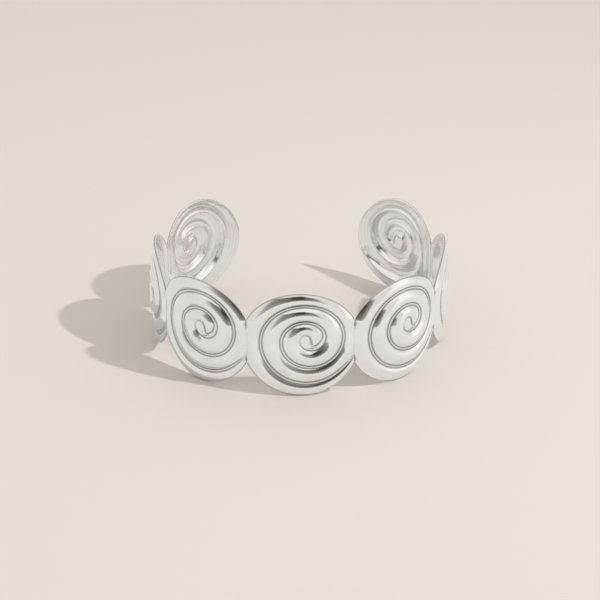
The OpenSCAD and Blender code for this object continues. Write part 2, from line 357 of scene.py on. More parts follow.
def grooveAt(tree, size, angle):
    # the groove: it leaves the right neck, winds inwards and hooks into the eye
    gone = addNode(tree, "ShaderNodeMath", angle, size["start angle"], operation="SUBTRACT")
    rest = addNode(tree, "ShaderNodeMath", size["end angle"], angle, operation="SUBTRACT")
    pastEnd = addNode(tree, "ShaderNodeMath", angle, size["end angle"], operation="SUBTRACT")
    ended = addNode(tree, "ShaderNodeMath", pastEnd, 0.0, operation="GREATER_THAN")
    eye, opened = eyeEdgeAt(tree, size, angle, pastEnd)
    radius = addNode(tree, "ShaderNodeMix", ended, windingAt(tree, size, angle, gone, rest), eye)
    # it sinks to its full depth over its first stretch
    sunk = addNode(tree, "ShaderNodeMath", gone, size["Groove fade"], operation="DIVIDE",
                   use_clamp=True)
    left = addNode(tree, "ShaderNodeMath", 1.0, sunk, operation="SUBTRACT")
    fade = addNode(tree, "ShaderNodeMath", left, left, operation="MULTIPLY")
    level = addNode(tree, "ShaderNodeMix", fade, size["Groove level"], size["start level"])
    depth = addNode(tree, "ShaderNodeMath", 1.0, fade, operation="SUBTRACT")
    # the bead that lies in it gets wider near the eye and runs out along the eye's edge
    widened = addNode(tree, "ShaderNodeMapRange", rest, size["Bead spread"], 0.0, 0.0,
                      size["Bead widening"], interpolation_type="SMOOTHSTEP")
    fullBead = addNode(tree, "ShaderNodeMath", widened, size["Bead half width"], operation="ADD")
    beadLeft = addNode(tree, "ShaderNodeMath", opened, depth, operation="MULTIPLY")
    bead = addNode(tree, "ShaderNodeMath", fullBead, beadLeft, operation="MULTIPLY")
    beadHeight = addNode(tree, "ShaderNodeMath", size["Bead height"], beadLeft,
                         operation="MULTIPLY")
    # the left and the top of the eye's edge stand higher, where the eye runs into the band,
    # and less painted shade and tarnish lies in the crease there
    lipTurn = addNode(tree, "ShaderNodeMapRange", pastEnd, size["Lip start"], size["Lip end"],
                      0.0, math.pi)
    lipSine = addNode(tree, "ShaderNodeMath", lipTurn, operation="SINE")
    lip = addNode(tree, "ShaderNodeMath", lipSine, lipSine, operation="MULTIPLY")
    lipLevel = addNode(tree, "ShaderNodeMath", lip, size["Eye lip"], operation="MULTIPLY")
    floor = addNode(tree, "ShaderNodeMath", depth, size["Groove floor"], lipLevel,
                    operation="MULTIPLY_ADD")
    lessShadeAndTarnish = addNode(tree, "ShaderNodeMath", lip, size["Lip shade lessening"], operation="MULTIPLY")
    # painted shade and tarnish along the groove's crease, less along the eye's lip
    shadeAndTarnish = addNode(tree, "ShaderNodeMath", depth, lessShadeAndTarnish, operation="SUBTRACT")
    softness = addNode(tree, "ShaderNodeMath", depth, size["Crease softness"],
                       operation="MULTIPLY")
    return {"radius": radius, "level": level, "softness": softness, "bead": bead,
            "beadHeight": beadHeight, "floor": floor, "shadeAndTarnish": shadeAndTarnish, "depth": depth}


def grooveSide(tree, size, distance, groove):
    # one side of a groove: the distance past its crease, its bead's height, and the painted shade
    # and tarnish near the crease
    past = addNode(tree, "ShaderNodeMath", distance, groove["bead"], operation="SUBTRACT")
    twice = addNode(tree, "ShaderNodeMath", lengthOf(tree, past, groove["softness"]), past,
                    operation="ADD")
    own = addNode(tree, "ShaderNodeMath", twice, 0.5, operation="MULTIPLY")
    share = addNode(tree, "ShaderNodeMath", distance, groove["bead"], operation="DIVIDE")
    square = addNode(tree, "ShaderNodeMath", share, share, operation="MULTIPLY")
    rounded = addNode(tree, "ShaderNodeMath", 1.0, square, operation="SUBTRACT", use_clamp=True)
    bead = addNode(tree, "ShaderNodeMath", rounded, groove["beadHeight"], operation="MULTIPLY")
    away = addNode(tree, "ShaderNodeMath", past, operation="ABSOLUTE")
    # painted shade and tarnish, strongest on the crease and gone a crease width away
    near = addNode(tree, "ShaderNodeMapRange", away, 0.0, size["Crease width"], groove["shadeAndTarnish"],
                   0.0, interpolation_type="SMOOTHSTEP")
    return own, bead, near


def rowDistance(tree, rows, width, groove):
    # the distance of a row from a groove: rows are close and on the crease near it
    third = addNode(tree, "ShaderNodeMath", groove["bead"], 1 / mesh["creaseRows"],
                    operation="MULTIPLY")
    wanted = addNode(tree, "ShaderNodeMath", third, mesh["widestCreaseRow"],
                     operation="MAXIMUM")
    even = addNode(tree, "ShaderNodeMath", width, 1 / mesh["frontRows"], operation="MULTIPLY")
    pitch = addNode(tree, "ShaderNodeMath", wanted, even, operation="MINIMUM")
    close = 2 * mesh["creaseRows"]
    closeRows = addNode(tree, "ShaderNodeMath", rows, float(close), operation="MINIMUM")
    closeDistance = addNode(tree, "ShaderNodeMath", closeRows, pitch, operation="MULTIPLY")
    farRows = addNode(tree, "ShaderNodeMath", rows, closeRows, operation="SUBTRACT")
    halfWidth = addNode(tree, "ShaderNodeMath", width, 0.5, operation="MULTIPLY")
    leftOver = addNode(tree, "ShaderNodeMath", pitch, -float(close), halfWidth,
                       operation="MULTIPLY_ADD")
    farPitch = addNode(tree, "ShaderNodeMath", leftOver, 1 / (mesh["frontRows"] / 2 - close),
                       operation="MULTIPLY")
    return addNode(tree, "ShaderNodeMath", farRows, farPitch, closeDistance,
                   operation="MULTIPLY_ADD")


def acrossBand(tree, at, width, outer, inner):
    # how far in from a band's outer side a point lies: the front's rows are counted
    # from the nearer groove, and the back's are a plain wave apart
    rowsIn = addNode(tree, "ShaderNodeMath", at["share"], float(mesh["frontRows"]),
                     operation="MULTIPLY")
    rowsLeft = addNode(tree, "ShaderNodeMath", float(mesh["frontRows"]), rowsIn,
                       operation="SUBTRACT")
    outerRow = rowDistance(tree, rowsIn, width, outer)
    innerRow = rowDistance(tree, rowsLeft, width, inner)
    fromFarSide = addNode(tree, "ShaderNodeMath", width, innerRow, operation="SUBTRACT")
    innerHalf = addNode(tree, "ShaderNodeMath", at["share"], 0.5, operation="GREATER_THAN")
    frontRow = addNode(tree, "ShaderNodeMix", innerHalf, outerRow, fromFarSide)
    backShare = addNode(tree, "ShaderNodeMath", at["swing"], -0.5, 0.5,
                        operation="MULTIPLY_ADD")
    backRow = addNode(tree, "ShaderNodeMath", width, backShare, operation="MULTIPLY")
    return addNode(tree, "ShaderNodeMix", at["isBack"], frontRow, backRow)


def creaseAt(tree, size, at, fromOuter, nearGroove):
    # the painted shade and tarnish near a crease, the painted shade in the fold between two discs,
    # and the painted shade and tarnish along the rim's line
    here = at["outline"]
    foldWidth = addNode(tree, "ShaderNodeMath", here["fold"], size["Fold reach"],
                        mesh["leastFold"], operation="MULTIPLY_ADD")
    # painted shade in the fold between two discs, deepest at the ends of the neck
    foldShade = addNode(tree, "ShaderNodeMath", here["fold"], size["Fold shade"],
                       operation="MULTIPLY", use_clamp=True)
    nearFold = addNode(tree, "ShaderNodeMapRange", fromOuter, 0.0, foldWidth, foldShade, 0.0,
                       interpolation_type="SMOOTHSTEP")
    # painted shade and tarnish in a thin line along the rim
    nearRim = addNode(tree, "ShaderNodeMapRange", fromOuter, 0.0, size["Rim line"],
                      size["Rim shade and tarnish"], 0.0)
    nearOutline = addNode(tree, "ShaderNodeMix", here["onNeck"], nearRim, nearFold)
    atOutline = addNode(tree, "ShaderNodeMix", at["isLaterTurn"], nearOutline, 0.0)
    return addNode(tree, "ShaderNodeMath", nearGroove, atOutline, operation="MAXIMUM")


def bandAt(tree, size, at, outer, inner):
    # a band between its outer side and the groove: radius, level and the painted shade and tarnish
    # near a crease
    width = addNode(tree, "ShaderNodeMath", outer["radius"], inner["radius"],
                    operation="SUBTRACT")
    fromOuter = acrossBand(tree, at, width, outer, inner)
    fromInner = addNode(tree, "ShaderNodeMath", width, fromOuter, operation="SUBTRACT")
    radius = addNode(tree, "ShaderNodeMath", outer["radius"], fromOuter, operation="SUBTRACT")
    safeWidth = addNode(tree, "ShaderNodeMath", width, mesh["leastWidth"], operation="MAXIMUM")
    across = addNode(tree, "ShaderNodeMath", fromOuter, safeWidth, operation="DIVIDE",
                     use_clamp=True)

    # the front of a band is a pillow between creases, with a fine bead in the groove beside it
    ownOuter, beadOuter, nearOuter = grooveSide(tree, size, fromOuter, outer)
    ownInner, beadInner, nearInner = grooveSide(tree, size, fromInner, inner)
    beads = addNode(tree, "ShaderNodeMath", outer["bead"], inner["bead"], operation="ADD")
    between = addNode(tree, "ShaderNodeMath", safeWidth, beads, operation="SUBTRACT")
    pillow = addNode(tree, "ShaderNodeMath", between, mesh["leastPillow"], operation="MAXIMUM")
    area = addNode(tree, "ShaderNodeMath", ownOuter, ownInner, operation="MULTIPLY")
    rise = addNode(tree, "ShaderNodeMath", area, pillow, operation="DIVIDE")
    # the rim's band is flatter towards the outline
    inShare = addNode(tree, "ShaderNodeMath", ownOuter, pillow, operation="DIVIDE",
                      use_clamp=True)
    grooved = addNode(tree, "ShaderNodeMath", outer["depth"], inShare, operation="MAXIMUM")
    slope = addNode(tree, "ShaderNodeMix", grooved, size["Rim slope"], size["Band slope"])
    height = addNode(tree, "ShaderNodeMath", rise, slope, operation="MULTIPLY")
    beadLevel = addNode(tree, "ShaderNodeMath", beadOuter, beadInner, operation="ADD")
    frontRelief = addNode(tree, "ShaderNodeMath", height, beadLevel, operation="ADD")

    # its back is a round hollow, with a ridge behind the groove
    wave = addNode(tree, "ShaderNodeMath", across, math.pi, operation="MULTIPLY")
    waveSine = addNode(tree, "ShaderNodeMath", wave, operation="SINE")
    waveWidth = addNode(tree, "ShaderNodeMath", width, 1 / math.pi, operation="MULTIPLY")
    waveHeight = addNode(tree, "ShaderNodeMath", waveSine, waveWidth, operation="MULTIPLY")
    hollowed = addNode(tree, "ShaderNodeMath", grooved, size["Back rim fullness"],
                       operation="POWER")
    backSlope = addNode(tree, "ShaderNodeMix", hollowed, size["Back rim slope"],
                        size["Back slope"])
    backRelief = addNode(tree, "ShaderNodeMath", waveHeight, backSlope, operation="MULTIPLY")
    relief = addNode(tree, "ShaderNodeMix", at["isBack"], frontRelief, backRelief)

    # the metal gets thinner towards the outline, by what is taken off its back, and rounded there
    thinned = addNode(tree, "ShaderNodeMath", size["Metal thickness"], size["Edge thickness"],
                      operation="SUBTRACT")
    evenly = addNode(tree, "ShaderNodeMath", thinned, size["Back rounding"],
                     operation="SUBTRACT")
    fromOutline = addNode(tree, "ShaderNodeMath", at["outline"]["radius"], radius,
                          operation="SUBTRACT")
    roundShare = addNode(tree, "ShaderNodeMapRange", fromOutline, 0.0, size["Rounding reach"],
                         1.0, 0.0)
    roundSquare = addNode(tree, "ShaderNodeMath", roundShare, roundShare, operation="MULTIPLY")
    rounding = addNode(tree, "ShaderNodeMath", roundSquare, size["Back rounding"],
                       operation="MULTIPLY")
    backRounding = addNode(tree, "ShaderNodeMath", rounding, at["isBack"], operation="MULTIPLY")
    levels = []
    for side in (outer, inner):
        notSunk = addNode(tree, "ShaderNodeMath", 1.0, side["depth"], operation="SUBTRACT")
        lift = addNode(tree, "ShaderNodeMath", notSunk, evenly, operation="MULTIPLY")
        onFace = addNode(tree, "ShaderNodeMix", at["isBack"], side["floor"], lift)
        levels.append(addNode(tree, "ShaderNodeMath", onFace, side["level"], operation="ADD"))
    straight = addNode(tree, "ShaderNodeMix", across, levels[0], levels[1])
    rounded = addNode(tree, "ShaderNodeMath", straight, backRounding, operation="ADD")
    level = addNode(tree, "ShaderNodeMath", rounded, relief, operation="ADD")
    nearGroove = addNode(tree, "ShaderNodeMath", nearOuter, nearInner, operation="MAXIMUM")
    shadeAndTarnish = creaseAt(tree, size, at, fromOuter, nearGroove)
    return {"radius": radius, "level": level, "shadeAndTarnish": shadeAndTarnish, "width": width,
            "pillow": pillow, "innerLevel": levels[1], "fromInner": fromInner}


def eyeAt(tree, size, at, band, outer, inner):
    # the eye narrows to its middle: its radius, level and the painted shade and tarnish near its
    # crease
    left = addNode(tree, "ShaderNodeMath", 1.0, at["share"], operation="SUBTRACT")
    radius = addNode(tree, "ShaderNodeMath", inner["radius"], left, operation="MULTIPLY")
    # its edge is level with the band beside it, and it is a low dome
    farOwn, farBead, _ = grooveSide(tree, size, band["width"], outer)
    nearOwn, nearBead, _ = grooveSide(tree, size, 0.0, inner)
    area = addNode(tree, "ShaderNodeMath", farOwn, nearOwn, operation="MULTIPLY")
    rise = addNode(tree, "ShaderNodeMath", area, band["pillow"], operation="DIVIDE")
    beads = addNode(tree, "ShaderNodeMath", farBead, nearBead, operation="ADD")
    relief = addNode(tree, "ShaderNodeMath", rise, size["Band slope"], beads,
                     operation="MULTIPLY_ADD")
    edge = addNode(tree, "ShaderNodeMath", relief, band["innerLevel"], operation="ADD")
    floor = addNode(tree, "ShaderNodeMath", size["Groove floor"], size["Eye level"],
                    operation="ADD")
    middle = addNode(tree, "ShaderNodeMath", floor, size["Groove level"], operation="ADD")
    leftSquare = addNode(tree, "ShaderNodeMath", left, left, operation="MULTIPLY")
    dome = addNode(tree, "ShaderNodeMix", leftSquare, middle, edge)
    level = addNode(tree, "ShaderNodeMix", at["isBack"], dome, size["Groove level"])
    fromEdge = addNode(tree, "ShaderNodeMath", inner["radius"], radius, operation="SUBTRACT")
    _, _, shadeAndTarnish = grooveSide(tree, size, fromEdge, inner)
    return {"radius": radius, "level": level, "shadeAndTarnish": shadeAndTarnish}


def facePlace(tree, size, at, radius):
    # where a point of a face lies: the spiral's middle slides a little to the left at the eye
    near = addNode(tree, "ShaderNodeMath", radius, size["Eye reach"], operation="DIVIDE",
                   use_clamp=True)
    away = addNode(tree, "ShaderNodeMath", 1.0, near, operation="SUBTRACT")
    slide = addNode(tree, "ShaderNodeMath", away, away, operation="MULTIPLY")
    shift = addNode(tree, "ShaderNodeMath", slide, size["Eye shift"], operation="MULTIPLY")
    cosine, sine = directionOf(tree, at["outline"]["angle"])
    rightwards = addNode(tree, "ShaderNodeMath", cosine, radius, size["Spiral x"],
                         operation="MULTIPLY_ADD")
    x = addNode(tree, "ShaderNodeMath", rightwards, shift, operation="SUBTRACT")
    downwards = addNode(tree, "ShaderNodeMath", sine, radius, operation="MULTIPLY")
    z = addNode(tree, "ShaderNodeMath", size["Spiral z"], downwards, operation="SUBTRACT")
    return addNode(tree, "ShaderNodeCombineXYZ", x, 0.0, z)


def edgePlace(tree, size, at):
    # where a point of the edge lies, which bulges outwards between the front and the back
    bulge = addNode(tree, "ShaderNodeMath", at["halfTurn"], operation="SINE")
    bulgeOut = addNode(tree, "ShaderNodeMath", bulge, size["Edge roundness"],
                       operation="MULTIPLY")
    pushed = addNode(tree, "ShaderNodeVectorMath", at["outline"]["normal"], bulgeOut,
                     operation="SCALE")
    return addNode(tree, "ShaderNodeVectorMath", at["outline"]["place"], pushed, operation="ADD")


def outAt(tree, size, at, x, z, faceLevel):
    # how far out a point lies: the dome of the disc, the relief, and the metal on the front
    domeX = addNode(tree, "ShaderNodeMath", x, size["half width"], operation="DIVIDE")
    domeZ = addNode(tree, "ShaderNodeMath", z, size["half height"], operation="DIVIDE")
    fromMiddle = addNode(tree, "ShaderNodeCombineXYZ", domeX, 0.0, domeZ)
    distance = addNode(tree, "ShaderNodeVectorMath", fromMiddle, fromMiddle,
                       operation="DOT_PRODUCT")
    fuller = addNode(tree, "ShaderNodeMath", distance, size["Dome fullness"], operation="POWER")
    domeShare = addNode(tree, "ShaderNodeMath", 1.0, fuller, operation="SUBTRACT",
                        use_clamp=True)
    level = addNode(tree, "ShaderNodeMix", at["isEdge"], faceLevel, at["outline"]["level"])
    domed = addNode(tree, "ShaderNodeMath", domeShare, size["Disc dome"], level,
                    operation="MULTIPLY_ADD")
    edgeShare = addNode(tree, "ShaderNodeMath", size["Edge thickness"],
                        size["Metal thickness"], operation="DIVIDE")
    edgeBack = addNode(tree, "ShaderNodeMath", 1.0, edgeShare, operation="SUBTRACT")
    edgeMetal = addNode(tree, "ShaderNodeMapRange", at["swing"], 1.0, -1.0, 1.0, edgeBack)
    metalShare = addNode(tree, "ShaderNodeMix", at["isEdge"], at["isFront"], edgeMetal)
    return addNode(tree, "ShaderNodeMath", metalShare, size["Metal thickness"], domed,
                   operation="MULTIPLY_ADD")


def bendAt(tree, size, along, height, out):
    # lays a point of the flat row round the wrist: three arcs on each side of the middle
    distance = addNode(tree, "ShaderNodeMath", along, operation="ABSOLUTE")
    side = addNode(tree, "ShaderNodeMath", along, operation="SIGN")
    x, y, before, turned, heading = 0.0, 0.0, 0.0, 0.0, 0.0
    for part in ("Front", "Side", "End"):
        radius = size[part + " radius"]
        angle = size[part + " angle"]
        past = addNode(tree, "ShaderNodeMath", distance, before, operation="SUBTRACT")
        turn = addNode(tree, "ShaderNodeMath", past, radius, operation="DIVIDE")
        own = addNode(tree, "ShaderNodeClamp", turn, 0.0, angle)
        heading = addNode(tree, "ShaderNodeMath", heading, own, operation="ADD")
        now = addNode(tree, "ShaderNodeMath", own, turned, operation="ADD")
        startCosine, startSine = directionOf(tree, turned)
        cosine, sine = directionOf(tree, now)
        forward = addNode(tree, "ShaderNodeMath", sine, startSine, operation="SUBTRACT")
        back = addNode(tree, "ShaderNodeMath", startCosine, cosine, operation="SUBTRACT")
        x = addNode(tree, "ShaderNodeMath", forward, radius, x, operation="MULTIPLY_ADD")
        y = addNode(tree, "ShaderNodeMath", back, radius, y, operation="MULTIPLY_ADD")
        turned = addNode(tree, "ShaderNodeMath", turned, angle, operation="ADD")
        before = addNode(tree, "ShaderNodeMath", angle, radius, before,
                         operation="MULTIPLY_ADD")
    cosine, sine = directionOf(tree, heading)
    outX = addNode(tree, "ShaderNodeMath", sine, out, x, operation="MULTIPLY_ADD")
    outY = addNode(tree, "ShaderNodeMath", cosine, out, operation="MULTIPLY")
    sideX = addNode(tree, "ShaderNodeMath", outX, side, operation="MULTIPLY")
    placeY = addNode(tree, "ShaderNodeMath", y, outY, operation="SUBTRACT")
    return addNode(tree, "ShaderNodeCombineXYZ", sideX, placeY, height)


def sizeInputs(tree):
    # a named input for each size, with the angles turned to radians
    tree.interface.new_socket("Geometry", in_out="INPUT", socket_type="NodeSocketGeometry")
    for name, value in (cuff | cuffAngles).items():
        kind = "NodeSocketInt" if isinstance(value, int) else "NodeSocketFloat"
        tree.interface.new_socket(name, in_out="INPUT", socket_type=kind)
    tree.interface.new_socket("Metal", in_out="INPUT", socket_type="NodeSocketMaterial")
    tree.interface.new_socket("Geometry", in_out="OUTPUT", socket_type="NodeSocketGeometry")
    given = tree.nodes.new("NodeGroupInput")
    size = {socket.name: socket for socket in given.outputs}
    for name in cuffAngles:
        size[name] = addNode(tree, "ShaderNodeMath", size[name], operation="RADIANS")
    return size


def flatDiscs(tree, size):
    # one set of sheets for each disc, numbered from the left
    row = addNode(tree, "GeometryNodeMeshLine", size["Disc count"], None, (0, 0, 0))
    copies = addNode(tree, "GeometryNodeInstanceOnPoints", row, None, flatSheets(tree))
    index = addNode(tree, "GeometryNodeInputIndex")
    numbered = addNode(tree, "GeometryNodeStoreNamedAttribute", copies, None, "disc", index,
                       data_type="INT", domain="INSTANCE")
    discs = addNode(tree, "GeometryNodeRealizeInstances", numbered)
    disc = addNode(tree, "GeometryNodeInputNamedAttribute", "disc", data_type="INT")
    return discs, disc


def placeInFrame(tree, geometry):
    # the origin is under the middle of the cuff, and the frame is in metres
    box = addNode(tree, "GeometryNodeBoundBox", geometry)
    corners = addNode(tree, "ShaderNodeVectorMath", box.outputs["Min"], box.outputs["Max"],
                      operation="ADD")
    centre = addNode(tree, "ShaderNodeVectorMath", corners, (-0.5, -0.5, 0.0),
                     operation="MULTIPLY")
    centred = addNode(tree, "GeometryNodeTransform", geometry, centre)
    return addNode(tree, "GeometryNodeTransform", centred, None, None, (millimetre,) * 3)


def cuffTree():
    tree = bpy.data.node_groups.new("spiral cuff", "GeometryNodeTree")
    tree.is_modifier = True
    size = sizeInputs(tree)
    discs, disc = flatDiscs(tree, size)
    addNeckSizes(tree, size, disc)

    # what a point is told by its flat sheet
    place = addNode(tree, "GeometryNodeInputPosition")
    step, share, sheet = addNode(tree, "ShaderNodeSeparateXYZ", place).outputs
    isOn = {}
    for code, name in enumerate(sheetNames):
        isOn[name] = addNode(tree, "ShaderNodeMath", sheet, code, mesh["equalWithin"],
                             operation="COMPARE")
    isEye = addNode(tree, "ShaderNodeMath", isOn["front eye"], isOn["back eye"],
                    operation="ADD")
    isBack = addNode(tree, "ShaderNodeMath", isOn["back band"], isOn["back eye"],
                     operation="ADD")
    isFront = addNode(tree, "ShaderNodeMath", 1.0, isBack, operation="SUBTRACT")
    isLaterTurn = addNode(tree, "ShaderNodeMath", step, mesh["steps"] - 0.5,
                          operation="GREATER_THAN")
    halfTurn = addNode(tree, "ShaderNodeMath", share, math.pi, operation="MULTIPLY")
    swing = addNode(tree, "ShaderNodeMath", halfTurn, operation="COSINE")
    here = outlineAt(tree, size, step)
    at = {"share": share, "isBack": isBack, "isFront": isFront, "isEdge": isOn["edge"],
          "isLaterTurn": isLaterTurn, "halfTurn": halfTurn, "swing": swing, "outline": here}

    # a band lies between the outline, or the groove one turn before, and the groove
    begin = outlineAt(tree, size, 0.0)
    for part in ("angle", "level", "radius"):
        size["start " + part] = begin[part]
    size["end angle"] = outlineAt(tree, size, float(grooveSteps))["angle"]
    inner = grooveAt(tree, size, here["angle"])
    turnBefore = addNode(tree, "ShaderNodeMath", here["angle"], fullTurn, operation="SUBTRACT")
    outer = {}
    for part, value in grooveAt(tree, size, turnBefore).items():
        atOutline = here.get(part, 0.0)  # its radius and its level, and nothing of a groove
        outer[part] = addNode(tree, "ShaderNodeMix", isLaterTurn, atOutline, value)
    band = bandAt(tree, size, at, outer, inner)
    eye = eyeAt(tree, size, at, band, outer, inner)
    face = {part: addNode(tree, "ShaderNodeMix", isEye, band[part], eye[part]) for part in eye}

    # the point on the disc, then in the row of discs, then round the wrist
    point = addNode(tree, "ShaderNodeMix", isOn["edge"],
                    facePlace(tree, size, at, face["radius"]), edgePlace(tree, size, at),
                    data_type="VECTOR")
    pointX, _, pointZ = addNode(tree, "ShaderNodeSeparateXYZ", point).outputs
    cutRight = addNode(tree, "ShaderNodeMath", pointX, size["right limit"], operation="MINIMUM")
    discX = addNode(tree, "ShaderNodeMath", cutRight, size["left limit"], operation="MAXIMUM")
    out = outAt(tree, size, at, discX, pointZ, face["level"])
    middle = addNode(tree, "ShaderNodeMath", size["last disc"], 0.5, operation="MULTIPLY")
    fromFront = addNode(tree, "ShaderNodeMath", disc, middle, operation="SUBTRACT")
    along = addNode(tree, "ShaderNodeMath", fromFront, size["Disc pitch"], discX,
                    operation="MULTIPLY_ADD")
    height = addNode(tree, "ShaderNodeMath", pointZ, size["half height"], operation="ADD")
    bent = bendAt(tree, size, along, height, out)

    # the edge has no faces on a neck, where the next disc goes on
    isEdgeHere = addNode(tree, "ShaderNodeMath", isOn["edge"], here["onNeck"],
                         operation="MULTIPLY")
    trimmed = addNode(tree, "GeometryNodeDeleteGeometry", discs, isEdgeHere, domain="FACE")
    # kept for the finish: the painted shade and tarnish, 1 along the creases; 1 on the inside; and
    # there the mm from a ridge;
    # the edge's painted shade and tarnish is most on its side towards the front, and the side
    # towards the back is as bright as the metal beside it
    frontShadeAndTarnish = addNode(tree, "ShaderNodeMath", face["shadeAndTarnish"], isFront, operation="MULTIPLY")
    towardsFront = addNode(tree, "ShaderNodeMath", 1.0, share, operation="SUBTRACT")
    # painted shade and tarnish on the edge, darkest on its side towards the front
    edgeShadeAndTarnish = addNode(tree, "ShaderNodeMath", towardsFront, size["Edge shade and tarnish"],
                       operation="MULTIPLY")
    shadeAndTarnish = addNode(tree, "ShaderNodeMix", isOn["edge"], frontShadeAndTarnish, edgeShadeAndTarnish)
    ridgeWay = addNode(tree, "ShaderNodeMath", band["fromInner"], isBack, operation="MULTIPLY")
    noted = trimmed
    for name, value in (("shadeAndTarnish", shadeAndTarnish), ("inside", isBack), ("ridgeWay", ridgeWay)):
        noted = addNode(tree, "GeometryNodeStoreNamedAttribute", noted, None, name, value,
                        data_type="FLOAT", domain="POINT")
    laid = addNode(tree, "GeometryNodeSetPosition", noted, None, bent)
    closed = addNode(tree, "GeometryNodeMergeByDistance", laid, None, mesh["mergeDistance"])
    smoothed = addNode(tree, "GeometryNodeSetShadeSmooth", placeInFrame(tree, closed))
    realized = addNode(tree, "GeometryNodeRealizeInstances", smoothed)
    plated = addNode(tree, "GeometryNodeSetMaterial", realized, None, size["Metal"])
    addNode(tree, "NodeGroupOutput", plated)
    return tree


def makeCuff(metal):
    tree = cuffTree()
    holder = bpy.data.objects.new("cuffHolder", bpy.data.meshes.new("cuffHolder"))
    bpy.context.scene.collection.objects.link(holder)
    modifier = holder.modifiers.new("spiral cuff", "NODES")
    modifier.node_group = tree
    values = cuff | cuffAngles | {"Metal": metal}
    for item in tree.interface.items_tree:
        if item.name in values:
            modifier[item.identifier] = values[item.name]
    graph = bpy.context.evaluated_depsgraph_get()
    finished = bpy.data.meshes.new_from_object(holder.evaluated_get(graph),
                                               preserve_all_data_layers=True, depsgraph=graph)
    holder.modifiers.remove(modifier)
    bpy.data.objects.remove(holder)
    piece = bpy.data.objects.new("spiralCuff", finished)
    finished.name = "spiralCuff"
    bpy.context.scene.collection.objects.link(piece)
    triangles = sum(len(face.vertices) - 2 for face in finished.polygons)
    print("cuff made:", triangles, "triangles")
    return piece


